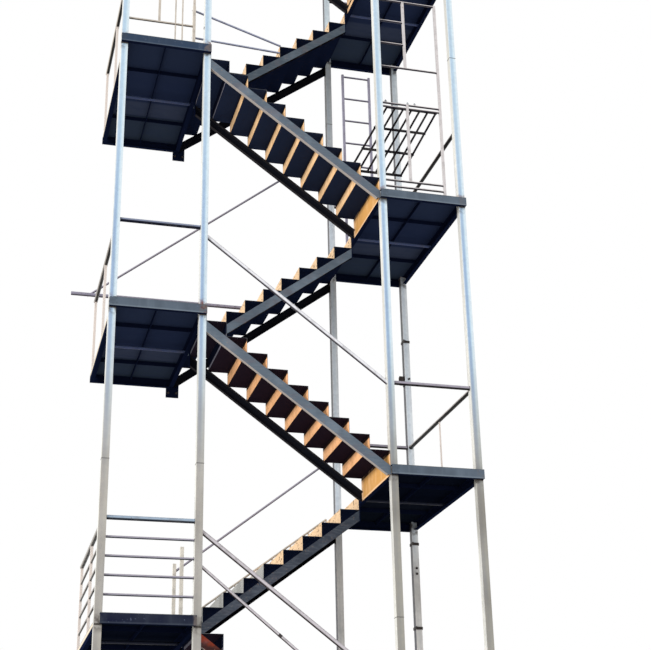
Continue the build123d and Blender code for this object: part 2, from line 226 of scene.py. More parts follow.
def galvanisedPost(name, centre, levelShift, rustShare, sunny=True):
    material, tree, shader, place, spot, way = newMaterial(name)
    g = galvanised
    front = addNode(tree, "MapRange", {0: way[1], **span(facing["front"])}, **smooth)
    left = addNode(tree, "MapRange", {0: way[0], **span(facing["left"])}, **smooth)
    across = addNode(tree, "Math", {0: spot[0], 1: centre}, operation="SUBTRACT")
    band = addNode(tree, "MapRange", {0: across, **span(g["bandAcross"]), 4: 0.9}, **smooth)
    lowShare, highShare = (1.0, 0.4) if sunny else (0.15, 0.15)
    fading = addNode(tree, "MapRange", {0: spot[2], **span(g["bandFades"]), 3: lowShare, 4: highShare})
    rightEdge = addNode(tree, "MapRange", {0: across, **span(g["rightEdge"]), 4: 0.5}, **smooth)
    leftEdge = addNode(tree, "MapRange", {0: across, **span(g["leftEdge"]), 4: 0.7}, **smooth)
    if sunny:
        face, side, drop = g["front"], g["side"], 0.0
        lowTone = g["lowToneRight"] if levelShift > 0 else g["lowTone"]
    else:
        face, side, drop = g["backFront"], g["shadedSide"], g["backDrop"]
        lowTone = g["lowToneBack"]
    start, full = g["lowToneSpan"]
    dropped = (start - drop, full - drop / 4)
    lowDown = addNode(tree, "MapRange", {0: spot[2], **span(dropped), 4: 0.9}, **smooth)
    highUp = addNode(tree, "MapRange", {0: spot[2], **span(g["paleSpan"]), 4: 0.6}, **smooth)
    cells = addNode(tree, "TexVoronoi", {"Vector": place, "Scale": perMetre(g["spangleMm"])}, "Color")
    spangle = addNode(tree, "SeparateColor", {"Color": cells})
    dullSpangle = addNode(tree, "MapRange", {0: spangle, 4: 0.12})
    streaks = patches(tree, place, g["streakMm"], 0.48, 0.78, (1, 1, 0.05))
    clouds = patches(tree, place, g["cloudMm"], 0.4, 0.7, (1, 1, 0.5))
    # painted light on the zinc: reflection band and highlights on the front, sunlight or shade on the left
    # side, shade on the faces away
    zinc = coats(tree, g["away"], (front, face), (allOf(tree, front, band, fading), g["frontBand"]),
                 (allOf(tree, front, rightEdge), g["frontEdge"]),
                 (allOf(tree, front, leftEdge), g["frontEdge"]), (highUp, g["topPale"]),
                 (lowDown, lowTone), (left, side), (dullSpangle, g["away"]),
                 (allOf(tree, streaks, 0.28), g["streak"]), (allOf(tree, clouds, lowDown, 0.4), g["grime"]))
    shifted = addNode(tree, "Math", {0: spot[2], 1: levelShift}, operation="ADD")
    above = addNode(tree, "Math", {0: shifted, 1: halfStorey, 2: -halfStorey}, operation="WRAP")
    justAbove = addNode(tree, "MapRange", {0: above, **span(g["justAbove"])}, **smooth)
    notBelow = addNode(tree, "MapRange", {0: above, **span(g["notBelow"])})
    # painted shade, patchy and in grime's colour, just under each landing's beam
    underBeam = addNode(tree, "MapRange", {0: above, **span(g["underBeam"])}, **smooth)
    inBeam = addNode(tree, "MapRange", {0: above, **span(g["inBeam"])})
    upperStoreys = addNode(tree, "MapRange", {0: spot[2], **span(g["rustSpan"])})
    burns = patches(tree, place, g["rustMm"], 0.40, 0.6)
    shadeSmears = patches(tree, place, g["shadeSmearMm"], 0.42, 0.62)
    rusty = allOf(tree, justAbove, notBelow, upperStoreys, burns, rustShare)
    shadeUnderBeam = allOf(tree, underBeam, inBeam, shadeSmears, 0.8)
    colour = coats(tree, zinc, (shadeUnderBeam, g["grime"]), (rusty, g["rust"]))
    metal = addNode(tree, "MapRange", {0: rusty, 3: g["metal"], 4: 0.0})
    rough = addNode(tree, "MapRange", {0: spangle, 3: 0.36, 4: 0.5})
    connect(tree, shader, {"Base Color": colour, "Metallic": metal, "Roughness": rough})
    relief(tree, shader, spangle, 0.3)
    return material


# Galvanised round tube: painted light where light falls on it from above, painted shade and a dark painted
# reflection on the underside
tubeCoats = {
    "bright": ("#F4F4FA", "#3E3A46", -0.5),    # lit, shaded, and how far down the lit part reaches
    "mauve": ("#D2CCD2", "#2C2224", -0.45),
    "steel": ("#A4B6CA", "#2A303C", -0.3),
    "grey": ("#AEB3B8", "#4E4C4A", -0.45),
    "slate": ("#8A93AC", "#10142A", -0.15),
    "warm": ("#A8A2B0", "#120E12", -0.38),
    "dusky": ("#A19DB0", "#4A4450", -0.72),
    "beige": ("#D2C8BC", "#5E564E", -0.6),
    "cream": ("#EEE8DC", "#A79E90", -0.5),
    # a near black coat; its first colour is also painted shade on the landing tubes under the lowest landings
    "sootAndShade": ("#121016", "#08070C", -0.4),
    "ink": ("#5A6890", "#46527A", -0.4),
    "silver": ("#EAE4E4", "#34303C", -0.1),
    "lavender": ("#A8A4B8", "#4A4658", -0.4),
    "violet": ("#B0B6D0", "#6E728C", -0.65),
    # near black painted shade under the side rails
    "sideRailShade": "#0C0706",
    "sunlit": "#CFC6BA",
    "uprights": "#F2E6DE",
    "streak": "#6D6A68",
    "rust": "#6E3A24",
    "streakMm": 70,
    "speckMm": 26,
    "metal": 0.2,
    "gloss": 0.18,
    "sootGloss": 0.04,
    "blend": 0.2,                # between lit and shaded, each way
    "left": (-0.3, -0.8),        # how far the surface faces left or down
    "lower": (-0.05, -0.14),
    "shadeOnLeft": (-0.6, -0.45),
    "shadeOnRight": (-1.2, -1.05),
    "plumbWithin": 0.02,
    "besideWithin": 0.026,       # metres from the side rails' plane
    "shadedLowSpan": (5.6, 5.5),    # height
}


def galvanisedTube(coat, darkSide=None, dullBelow=None):
    material, tree, shader, place, spot, way = newMaterial(coat + "GalvanisedTube")
    t = tubeCoats
    lit, under, shadeFrom = t[coat]
    litSpan = (shadeFrom - t["blend"], shadeFrom + t["blend"])
    # painted light on the upper part, painted shade and dark painted reflection on the underside
    upper = addNode(tree, "MapRange", {0: way[2], **span(litSpan)}, **smooth)
    left = addNode(tree, "MapRange", {0: way[0], **span(t["left"]), 4: 0.6}, **smooth)
    streaks = patches(tree, place, t["streakMm"], 0.42, 0.75, detail=5.0)
    specks = patches(tree, place, t["speckMm"], 0.66, 0.74)
    layers = [(upper, lit), (allOf(tree, streaks, 0.3), t["streak"]), (allOf(tree, specks, 0.5), t["rust"])]
    if dullBelow is not None:    # the thin rails below the top one have gone a dull mauve
        thinRails = addNode(tree, "MapRange", {0: spot[2], **span((dullBelow, dullBelow - 0.01))})
        layers.append((allOf(tree, thinRails, upper), t["warm"][0]))
    if darkSide is not None:    # the side rails get painted sunlight on their left faces and near black painted shade below, and their uprights pale
        beside = addNode(tree, "Math", {0: spot[0], 1: darkSide, 2: t["besideWithin"]}, operation="COMPARE")
        shade = t["shadeOnLeft"] if darkSide < thirdX else t["shadeOnRight"]
        shaded = addNode(tree, "MapRange", {0: way[0], **span(shade)}, **smooth)
        lower = addNode(tree, "MapRange", {0: way[2], **span(t["lower"])}, **smooth)
        plumb = addNode(tree, "Math", {0: way[2], 1: 0.0, 2: t["plumbWithin"]}, operation="COMPARE")
        layers += [(allOf(tree, beside, left), t["sunlit"]), (allOf(tree, beside, lower, shaded), t["sideRailShade"]),
                   (allOf(tree, beside, plumb), t["uprights"])]
    if coat == "ink":    # painted shade in the soot coat's colour under the lowest landings
        shadedLow = addNode(tree, "MapRange", {0: spot[2], **span(t["shadedLowSpan"]), 4: 0.85})
        layers.append((shadedLow, t["sootAndShade"][0]))
    rough = addNode(tree, "MapRange", {0: streaks, 3: 0.34, 4: 0.56})
    shader.inputs["Metallic"].default_value = 0.0 if coat == "sootAndShade" else t["metal"]
    shader.inputs["Specular IOR Level"].default_value = t["sootGloss" if coat == "sootAndShade" else "gloss"]
    connect(tree, shader, {"Base Color": coats(tree, under, *layers), "Roughness": rough})
    relief(tree, shader, streaks, 0.25)
    return material


# Alkyd paint on rolled channel: slate on the webs, a painted highlight as a lighter lower edge, painted
# sunlight in cream where it faces the sun, near black painted shade underneath, inside and on left faces,
# matt, with burnt patches over the posts
channelPaint = {
    "web": "#64707E",
    # painted shade: the lowest left landing's frame is a darker navy
    "firstWeb": "#1E2238",
    "thirdWeb": "#3A4A62",
    # painted sunlight on the top strip of the outermost left face
    "sunny": "#E4D8C4",
    "top": "#8A8F92",
    # painted shade: near black under, inside behind the front web and on left faces
    "under": "#131A32",
    # paint runs, and a painted highlight along the lower edge
    "edge": "#8A96A2",
    "dirt": "#454C55",
    "joint": "#7A706C",
    # painted shade under the middle bar, a little lighter
    "barUnder": "#161E38",
    "rust": "#6B3A2A",
    "chip": "#6E7890",
    "patchMm": 240,
    "runMm": 60,
    "burnMm": 50,
    "rustMm": 34,
    "chipMm": 26,
    "ahead": (-0.3, -0.6),           # how far the surface faces the front
    "outermost": (0.005, 0.001),     # from the left posts' row
    "inside": (-0.036, -0.030),      # depth, behind the front web
    "lowEdge": (-0.084, -0.096),     # heights from the level
    "topStrip": (-0.048, -0.036),
    "overPost": (0.06, 0.035),       # from the nearest post's axis
    "middleBar": (0.455, 0.465),
    "rightPost": (0.4, 0.6),         # from the landing's left post
}


def landingPaint(name, web, postShift, edgeShare=0.22, rustShare=0.0, jointShare=0.7):
    material, tree, shader, place, spot, way = newMaterial(name)
    c = channelPaint
    below = addNode(tree, "MapRange", {0: way[2], **span(facing["down"])}, **smooth)
    up = addNode(tree, "MapRange", {0: way[2], **span(facing["up"])}, **smooth)
    ahead = addNode(tree, "MapRange", {0: way[1], **span(c["ahead"])}, **smooth)
    left = addNode(tree, "MapRange", {0: way[0], **span(facing["left"])}, **smooth)
    outermost = addNode(tree, "MapRange", {0: spot[0], **span(c["outermost"])})
    inside = addNode(tree, "MapRange", {0: spot[1], **span(c["inside"])})
    fromLevel = addNode(tree, "Math", {0: spot[2], **levelWrap}, operation="WRAP")
    lowEdge = addNode(tree, "MapRange", {0: fromLevel, **span(c["lowEdge"])}, **smooth)
    topStrip = addNode(tree, "MapRange", {0: fromLevel, **span(c["topStrip"])})
    shifted = addNode(tree, "Math", {0: spot[0], 1: postShift}, operation="SUBTRACT")
    fromPost = addNode(tree, "Math", {0: shifted, **postWrap}, operation="WRAP")
    besidePost = addNode(tree, "Math", {0: fromPost}, operation="ABSOLUTE")
    overPost = addNode(tree, "MapRange", {0: besidePost, **span(c["overPost"])}, **smooth)
    middleBar = addNode(tree, "MapRange", {0: besidePost, **span(c["middleBar"])})
    rightPost = addNode(tree, "MapRange", {0: shifted, **span(c["rightPost"])})
    overShare = addNode(tree, "MapRange", {0: rightPost, 3: 0.4, 4: jointShare})
    cloudy = patches(tree, place, c["patchMm"], 0.35, 0.7)
    runs = patches(tree, place, c["runMm"], 0.5, 0.8, (1, 1, 0.12))
    chips = patches(tree, place, c["chipMm"], 0.66, 0.71)
    burnt = patches(tree, place, c["burnMm"], 0.36, 0.58)
    rustSpots = patches(tree, place, c["rustMm"], 0.5, 0.62)
    joint = coats(tree, c["dirt"], (rightPost, c["joint"]))
    # painted light: a highlight on the lower edge, near black shade under, inside and on left faces, sunlight
    # on the outermost left strip
    colour = coats(tree, web, (allOf(tree, cloudy, 0.35), c["dirt"]),
                   (allOf(tree, runs, edgeShare), c["edge"]),
                   (allOf(tree, lowEdge, ahead, 2 * edgeShare), c["edge"]), (up, c["top"]),
                   (allOf(tree, overPost, ahead, burnt, overShare), joint),
                   (allOf(tree, overPost, ahead, rustSpots, rightPost, rustShare), c["rust"]),
                   (allOf(tree, chips, 0.5), c["chip"]), (allOf(tree, inside, ahead), c["under"]),
                   (left, c["under"]), (allOf(tree, left, outermost, topStrip), c["sunny"]),
                   (below, c["under"]), (allOf(tree, below, inside, middleBar), c["barUnder"]))
    rough = addNode(tree, "MapRange", {0: cloudy, 3: 0.42, 4: 0.62})
    shader.inputs["Specular IOR Level"].default_value = 0.0
    connect(tree, shader, {"Base Color": colour, "Roughness": rough})
    relief(tree, shader, chips, 0.4)
    return material


# Chequered steel plate: scuffed slate paint above; below, near black painted shade, lighter at the front,
# in a painted band of light and on the last panel, darkest on the lower landings, with a grey bloom
deckPlate = {
    "top": "#5A6066",
    "worn": "#8C8E8E",
    # painted shade underneath: near black, lighter at the front, in a painted band of light and on the last
    # panel, darkest on the lower landings
    "under": "#26304C",
    "underLow": "#03050C",
    "underFront": "#2B354E",
    "underBand": "#3A4258",
    "underBack": "#303A4C",
    "bloom": "#2C3650",
    "chequerMm": 122.52,    # real studs are about 25 mm apart, drawn coarser to show
    "waveRadians": 20,      # that a wave texture draws in a unit
    "scuffMm": 300,
    "bloomMm": 220,
    "frontHalf": (1.0, 0.3),      # depths behind the front posts
    "bandStart": (1.35, 1.39),
    "bandEnd": (1.71, 1.69),
    "lastPanel": (1.70, 1.72),
    "lowDown": (6.2, 5.2),        # height
}


def chequerPaint():
    material, tree, shader, place, spot, way = newMaterial("chequeredDeckPaint")
    d = deckPlate
    below = addNode(tree, "MapRange", {0: way[2], **span(facing["down"])}, **smooth)
    onTop = addNode(tree, "MapRange", {0: way[2], **span(facing["up"])})
    frontHalf = addNode(tree, "MapRange", {0: spot[1], **span(d["frontHalf"])}, **smooth)
    bandStart = addNode(tree, "MapRange", {0: spot[1], **span(d["bandStart"])})
    bandEnd = addNode(tree, "MapRange", {0: spot[1], **span(d["bandEnd"])})
    lastPanel = addNode(tree, "MapRange", {0: spot[1], **span(d["lastPanel"])})
    lowDown = addNode(tree, "MapRange", {0: spot[2], **span(d["lowDown"]), 4: 0.85})
    scuffs = patches(tree, place, d["scuffMm"], 0.42, 0.7, detail=6.0)
    bloom = patches(tree, place, d["bloomMm"], 0.45, 0.75, (1, 2.5, 1))
    waveScale = perMetre(d["chequerMm"]) * 2 * math.pi / d["waveRadians"]
    studs = []
    for turn in (45, -45):
        leaned = addNode(tree, "Mapping", {"Vector": place, "Rotation": (0, 0, math.radians(turn))})
        waves = addNode(tree, "TexWave", {"Vector": leaned, "Scale": waveScale}, "Fac")
        studs.append(addNode(tree, "MapRange", {0: waves, 1: 0.55, 2: 0.8}, **smooth))
    stud = allOf(tree, *studs)
    # painted shade underneath, with its lighter front, band and last panel, and darker low down
    colour = coats(tree, d["top"], (allOf(tree, scuffs, 0.5), d["worn"]),
                   (allOf(tree, stud, onTop, 0.5), d["worn"]),
                   (below, d["under"]), (allOf(tree, below, frontHalf), d["underFront"]),
                   (allOf(tree, below, bandStart, bandEnd), d["underBand"]),
                   (allOf(tree, below, lastPanel), d["underBack"]),
                   (allOf(tree, below, bloom, 0.4), d["bloom"]),
                   (allOf(tree, below, lowDown), d["underLow"]))
    rough = addNode(tree, "MapRange", {0: scuffs, 3: 0.5, 4: 0.7})
    shader.inputs["Specular IOR Level"].default_value = 0.0
    connect(tree, shader, {"Base Color": colour, "Roughness": rough})
    relief(tree, shader, allOf(tree, stud, onTop), 1.5)
    return material


# Brushed-on paint on the sloping channels: dusty slate, painted sunlight in cream on the slope's underside,
# near black painted shade on faces below and on each flight's far channel, and old red oxide primer on one
# pair
stringerCoats = {
    "slate": ("#74818F", "#4A5460"),    # fresh and dull
    "dim": ("#545B68", "#2A2E38"),
    "shaded": ("#66727E", "#3E4852"),
    "oxide": ("#853726", "#322829"),
    # painted sunlight on left faces, weaker on the far channel
    "sunny": "#D8CEC8",
    # painted shade on faces below
    "under": "#0E0A0C",
    # painted shade on each flight's far channel
    "farSide": "#10101A",
    "primer": "#77666A",
    "cutFace": "#E0DCD6",
    "edge": "#8C959E",
    "oxideEdge": "#6B4A38",
    "chip": "#A08A78",
    "clouds": (260, 0.45),      # size in mm and share
    "oxideClouds": (150, 0.9),
    "primerMm": 110,
    "brushMm": 18,
    "chipMm": 24,
    "below": (-0.3, -0.55),     # how far the surface faces down or left
    "left": (-0.35, -0.6),
    "cut": (-0.93, -0.97),
    "cutSpan": (3.6, 3.5),      # height
    "laneShift": 0.06,
    "laneWidth": 1.25,          # from the front flight to the one behind it
    "farHalf": (0.45, 0.55),    # share of the lane
}


def stringerPaint(coat):
    material, tree, shader, place, spot, way = newMaterial(coat + "StringerPaint")
    s = stringerCoats
    fresh, dull = s[coat]
    dusty = s["oxideEdge"] if coat == "oxide" else s["edge"]
    cloudMm, cloudShare = s["oxideClouds"] if coat == "oxide" else s["clouds"]
    primerShare = 0.1 if coat == "dim" else 0.25
    below = addNode(tree, "MapRange", {0: way[2], **span(s["below"])}, **smooth)
    left = addNode(tree, "MapRange", {0: way[0], **span(s["left"])}, **smooth)
    up = addNode(tree, "MapRange", {0: way[2], **span(facing["up"])}, **smooth)
    depth = addNode(tree, "Math", {0: spot[1], 1: s["laneShift"]}, operation="ADD")
    lanes = addNode(tree, "Math", {0: depth, 1: s["laneWidth"]}, operation="DIVIDE")
    acrossFlight = addNode(tree, "Math", {0: lanes}, operation="FRACT")
    farSide = addNode(tree, "MapRange", {0: acrossFlight, **span(s["farHalf"])})
    sunShare = addNode(tree, "MapRange", {0: farSide, 3: 0.7, 4: 0.04})
    cloudy = patches(tree, place, cloudMm, 0.32, 0.55)
    primer = patches(tree, place, s["primerMm"], 0.5, 0.66, (0.5, 1, 1))
    strokes = patches(tree, place, s["brushMm"], 0.4, 0.7, (0.2, 1, 1))
    chips = patches(tree, place, s["chipMm"], 0.66, 0.7)
    # painted shade below and on the far channel, painted sunlight on left faces
    colour = coats(tree, fresh, (allOf(tree, cloudy, cloudShare), dull), (allOf(tree, strokes, 0.18), dusty),
                   (allOf(tree, up, 0.6), dusty), (below, s["under"]),
                   (allOf(tree, primer, primerShare), s["primer"]), (allOf(tree, chips, 0.4), s["chip"]),
                   (allOf(tree, farSide, 0.96), s["farSide"]), (allOf(tree, left, sunShare), s["sunny"]))
    if coat == "dim":    # the level cut at that flight's foot is bare and pale
        cut = addNode(tree, "MapRange", {0: way[2], **span(s["cut"])})
        foot = addNode(tree, "MapRange", {0: spot[2], **span(s["cutSpan"])})
        colour = coats(tree, colour, (allOf(tree, cut, foot), s["cutFace"]))
    rough = addNode(tree, "MapRange", {0: cloudy, 3: 0.45, 4: 0.66})
    shader.inputs["Specular IOR Level"].default_value = 0.0
    connect(tree, shader, {"Base Color": colour, "Roughness": rough})
    relief(tree, shader, strokes, 0.25)
    return material


# Folded steel plate: scuffed dark treads, near black painted shade below, risers in a warm tan coat on the
# front flights and in a chipped, stained cream one on the back flights, both partly painted low sunlight
stepPlate = {
    "tan": ("#FFD2A0", "#D29A66", 0.15, 0.96),    # riser, grime, shares of chips and of the painted shadow
    "cream": ("#F5DFBA", "#9C8468", 0.7, 0.0),
    "tread": "#4A4D52",
    "worn": "#76777A",
    # painted shadow of the tread above, over each riser's head
    "lap": "#12101C",
    # painted shade below the treads: under on the front flights, underBack on the back ones, underLow browner
    # low down; underWarm marks stains in it
    "under": "#28324C",
    "underWarm": "#2C2630",
    "underBack": "#141C34",
    "underLow": "#2B222E",
    "tanLow": "#FFB078",
    "bare": "#B0B0AC",
    "gold": "#DCA460",
    "goldRim": "#FFD2A6",
    "chip": "#3A2C26",
    # painted shade on the riser just below the landing
    "topRiserShade": "#141829",
    "paleEdge": "#7C7A86",
    "grimeMm": 90,
    "stainMm": 34,
    "chipMm": 30,
    "upright": (0.4, 0.6),        # how far the surface faces along the flight
    "riserHeight": 0.17,
    "lapHead": (0.74, 0.80),     # shares of the riser's height
    "lowerEdge": (0.26, 0.16),
    "nearEnd": (0.02, -0.02),     # depths
    "farEnd": (0.98, 1.04),
    "topRiser": (1.32, 1.30),     # along the flight
    "goldFoot": (3.08, 3.084),
    "lowFlight": (7.2, 6.6),      # heights
    "bareFoot": (4.25, 4.24),
    "lowRim": (-0.075, -0.095),   # heights from the level
    "belowHead": (0.136, 0.126),
}


def foldedPlate(name, kind, foot=None):
    material, tree, shader, place, spot, way = newMaterial(name)
    p = stepPlate
    fresh, grime, chipShare, lapShare = p[kind]
    front = kind == "tan"
    below = addNode(tree, "MapRange", {0: way[2], **span(facing["down"])}, **smooth)
    level = addNode(tree, "Math", {0: way[0]}, operation="ABSOLUTE")
    upright = addNode(tree, "MapRange", {0: level, **span(p["upright"])})
    runs = patches(tree, place, p["grimeMm"], 0.42, 0.78, (1, 1, 0.4))
    stains = patches(tree, place, p["stainMm"], 0.6, 0.68)
    chips = patches(tree, place, p["chipMm"], 0.58, 0.64, (1, 0.6, 1))
    # painted shadow: the tread above casts a dark band down over the head of each riser
    steps = addNode(tree, "Math", {0: spot[2], 1: p["riserHeight"]}, operation="DIVIDE")
    upRiser = addNode(tree, "Math", {0: steps}, operation="FRACT")
    head = addNode(tree, "MapRange", {0: upRiser, **span(p["lapHead"])}, **smooth)
    farEnd = addNode(tree, "MapRange", {0: spot[1], **span(p["farEnd"])}, **smooth)
    lowFlight = addNode(tree, "MapRange", {0: spot[2], **span(p["lowFlight"])})
    riser, shade = fresh, p["underBack"]
    if front:    # the lower front flights are a redder tan
        riser, shade = coats(tree, fresh, (allOf(tree, lowFlight, 0.55), p["tanLow"])), p["under"]
    coat = coats(tree, riser, (allOf(tree, runs, 0.5), grime), (allOf(tree, stains, 0.35), grime),
                 (allOf(tree, farEnd, 0.6), p["goldRim"]), (allOf(tree, chips, chipShare), p["chip"]),
                 (allOf(tree, head, lapShare), p["lap"]))
    if front:    # painted shade in navy on the riser below the landing, with a pale lower edge
        topRiser = addNode(tree, "MapRange", {0: spot[0], **span(p["topRiser"])})
        lowerEdge = addNode(tree, "MapRange", {0: upRiser, **span(p["lowerEdge"])}, **smooth)
        coat = coats(tree, coat, (topRiser, p["topRiserShade"]), (allOf(tree, topRiser, lowerEdge), p["paleEdge"]))
    if foot == "bare":    # the lowest risers are bare galvanised plate, pale grey without the painted sunlight of the risers above
        bare = addNode(tree, "MapRange", {0: spot[2], **span(p["bareFoot"])})
        coat = coats(tree, coat, (bare, p["bare"]))
    if foot == "gold":    # the plate that closes the flight's foot is fresh ochre, partly painted low sunlight like the risers, paler at its rims
        closing = addNode(tree, "MapRange", {0: spot[0], **span(p["goldFoot"])})
        fromLevel = addNode(tree, "Math", {0: spot[2], **levelWrap}, operation="WRAP")
        belowHead = addNode(tree, "MapRange", {0: fromLevel, **span(p["belowHead"])})
        lowRim = addNode(tree, "MapRange", {0: fromLevel, **span(p["lowRim"])}, **smooth)
        nearEnd = addNode(tree, "MapRange", {0: spot[1], **span(p["nearEnd"])}, **smooth)
        coat = coats(tree, coat, (allOf(tree, closing, belowHead), p["gold"]),
                     (allOf(tree, closing, runs, 0.4), fresh))
        for rim in (lowRim, nearEnd, farEnd):
            coat = coats(tree, coat, (allOf(tree, closing, belowHead, rim, 0.85), p["goldRim"]))
    tread = coats(tree, p["tread"], (runs, p["worn"]))
    shade = coats(tree, shade, (allOf(tree, stains, 0.5), p["underWarm"]))
    if front:    # painted shade under the lower front flights, browner
        shade = coats(tree, shade, (lowFlight, p["underLow"]))
    colour = coats(tree, tread, (below, shade), (upright, coat))
    rough = addNode(tree, "MapRange", {0: runs, 3: 0.46, 4: 0.7})
    shader.inputs["Specular IOR Level"].default_value = 0.0
    connect(tree, shader, {"Base Color": colour, "Roughness": rough})
    relief(tree, shader, runs, 0.3)
    return material


# Zinc flake and forged steel on the fasteners, mill scale on weld beads: small bright or
# sooty parts with a grainy skin
fittingCoats = {
    "zincFastener": ("#AEB4B8", "#7C7670", 0.6, 0.45),    # face, grain, metallic, roughness
    "weldBead": ("#57504B", "#2C2623", 0.3, 0.6),
    "paintedWeld": ("#2B2A30", "#4A3A30", 0.0, 0.6),
    "sootySteel": ("#2A2425", "#4B3A30", 0.1, 0.55),
    "zincSplice": ("#6E6C6E", "#4A403A", 0.3, 0.55),
    "zincCap": ("#C3C8CE", "#8C9096", 0.4, 0.45),
    "grainMm": 9,
}


def fittingMetal(kind):
    material, tree, shader, place = newMaterial(kind)[:4]
    face, grain, metal, rough = fittingCoats[kind]
    grains = patches(tree, place, fittingCoats["grainMm"], 0.4, 0.65)
    dull = addNode(tree, "MapRange", {0: grains, 3: rough, 4: rough + 0.2})
    colour = coats(tree, face, (allOf(tree, grains, 0.6), grain))
    shader.inputs["Metallic"].default_value = metal
    connect(tree, shader, {"Base Color": colour, "Roughness": dull})
    relief(tree, shader, grains, 0.4)
    return material


# Primer on the plates at the posts' feet: a dull grey, scuffed pale, rusty at its worn spots
footPrimer = {
    "face": "#5A626B",
    "scuff": "#8A8C8A",
    "rust": "#744A30",
    "scuffMm": 60,
    "rustMm": 22,
}


def footPaint():
    material, tree, shader, place = newMaterial("footPlatePrimer")[:4]
    f = footPrimer
    scuffs = patches(tree, place, f["scuffMm"], 0.4, 0.65, detail=6.0)
    rusts = patches(tree, place, f["rustMm"], 0.58, 0.66)
    colour = coats(tree, f["face"], (allOf(tree, scuffs, 0.6), f["scuff"]),
                   (allOf(tree, rusts, 0.7), f["rust"]))
    rough = addNode(tree, "MapRange", {0: scuffs, 3: 0.5, 4: 0.72})
    connect(tree, shader, {"Base Color": colour, "Roughness": rough})
    relief(tree, shader, rusts, 0.4)
    return material


tubes = {coat: galvanisedTube(coat) for coat in
         ("bright", "grey", "dusky", "beige", "cream", "sootAndShade", "silver", "ink", "lavender")}
slateStringer = stringerPaint("slate")
tanSteps = foldedPlate("tanFoldedSteps", "tan")
goldFootSteps = foldedPlate("goldFootFoldedSteps", "tan", "gold")
creamSteps = foldedPlate("creamFoldedSteps", "cream")
bareFootSteps = foldedPlate("bareFootFoldedSteps", "cream", "bare")
leftFrame = landingPaint("slateLeftLandingPaint", channelPaint["web"], firstX)
rightFrame = landingPaint("slateRightLandingPaint", channelPaint["web"], thirdX, jointShare=0.25)
plate = chequerPaint()

# The first name that a node starts with gives its finish
finishes = {
    "front_post_left_outer": galvanisedPost("galvanisedPostOne", firstX, 0.0, 0.3),
    "front_post_left_inner": galvanisedPost("galvanisedPostTwo", secondX, 0.0, 0.95),
    "front_post_right_inner": galvanisedPost("galvanisedPostThree", thirdX, halfStorey, 0.6),
    "front_post_right_outer": galvanisedPost("galvanisedPostFour", lastX, halfStorey, 0.6),
    "back_post_right_inner": galvanisedPost("galvanisedBackPostOne", thirdX, halfStorey, 0.5, sunny=False),
    "back_post_right_outer": galvanisedPost("galvanisedBackPostTwo", lastX, halfStorey, 0.5, sunny=False),
    "base_plates": footPaint(),
    # painted shade: the lowest left landing's frame in a darker navy
    "left_landing_frame_1": landingPaint("shadedLandingPaint", channelPaint["firstWeb"], firstX, 0.05),
    "left_landing_frame_2": landingPaint("rustyJointLandingPaint", channelPaint["web"], firstX,
                                         rustShare=0.6),
    "left_landing_frame_3": landingPaint("blueLandingPaint", channelPaint["thirdWeb"], firstX, 0.1),
    "left_landing_frame": leftFrame,
    "right_landing_frame": rightFrame,
    "left_landing_decks": plate,
    "right_landing_decks": plate,
    "landing_tubes": tubes["ink"],
    "wall_brackets": leftFrame,
    "stringer_hangers": rightFrame,
    "flight_2_stringers": stringerPaint("oxide"),
    "flight_3_stringers": stringerPaint("dim"),
    "flight_7_stringers": stringerPaint("shaded"),
    "flight_3_steps": bareFootSteps,
    "flight_4_steps": goldFootSteps,
    "flight_6_steps": goldFootSteps,
    "left_guard_1": galvanisedTube("steel", darkSide=stair["sideRailX"], dullBelow=4.3),
    "left_guard_2": galvanisedTube("slate", darkSide=stair["sideRailX"]),
    "left_guard_3": galvanisedTube("beige", darkSide=stair["sideRailX"]),
    "left_guard_4": tubes["grey"],
    "right_guard": galvanisedTube("warm", darkSide=lastX),
    "handrail_flight_2": galvanisedTube("mauve"),
    "handrail_flight": tubes["bright"],
    "low_rails": tubes["beige"],
    "landing_newels": tubes["cream"],
    "wall_rail": tubes["dusky"],
    "wall_side_slope_rails": galvanisedTube("lavender", dullBelow=9.6),
    "loose_leaning_panel": tubes["sootAndShade"],
    "loose_front_frame": tubes["silver"],
    "loose_ladder_frame": tubes["lavender"],
    "loose_tubes": galvanisedTube("violet"),
}


def finishFor(name):
    for start, material in finishes.items():
        if name.startswith(start):
            return material
    number = int(name.split("_")[1])
    if name.endswith("stringers"):
        return slateStringer
    return tanSteps if number % 2 == 0 else creamSteps


for name, node in nodes.items():
    material = finishFor(name)
    for slot in node.material_slots:
        slot.material = material
print("materials on the frame")


# Small fittings, each modelled once and copied to its places
def pickFaces(piece, wanted):
    mesh = piece.data
    for part in (mesh.vertices, mesh.edges, mesh.polygons):
        part.foreach_set("select", [False] * len(part))
    for face in mesh.polygons:
        face.select = wanted(face)
    bpy.context.tool_settings.mesh_select_mode = (False, False, True)
    bpy.ops.object.mode_set(mode="EDIT")


def closeUp():
    # leaves edit mode with every normal outwards
    bpy.ops.mesh.select_all(action="SELECT")
    bpy.ops.mesh.normals_make_consistent(inside=False)
    bpy.ops.object.mode_set(mode="OBJECT")


def extruded(x, y, z):
    bpy.ops.mesh.extrude_region_move(TRANSFORM_OT_translate={"value": (x, y, z)})


def makeActive(part):
    bpy.ops.object.select_all(action="DESELECT")
    part.select_set(True)
    bpy.context.view_layer.objects.active = part


def newPart(primitive, **sizes):
    bpy.ops.object.select_all(action="DESELECT")
    getattr(bpy.ops.mesh, "primitive_" + primitive + "_add")(**sizes)
    bpy.ops.object.transform_apply(location=True, rotation=True, scale=True)
    return bpy.context.object


def joined(parts):
    makeActive(parts[0])
    for part in parts:
        part.select_set(True)
    if len(parts) > 1:
        bpy.ops.object.join()
    return parts[0]


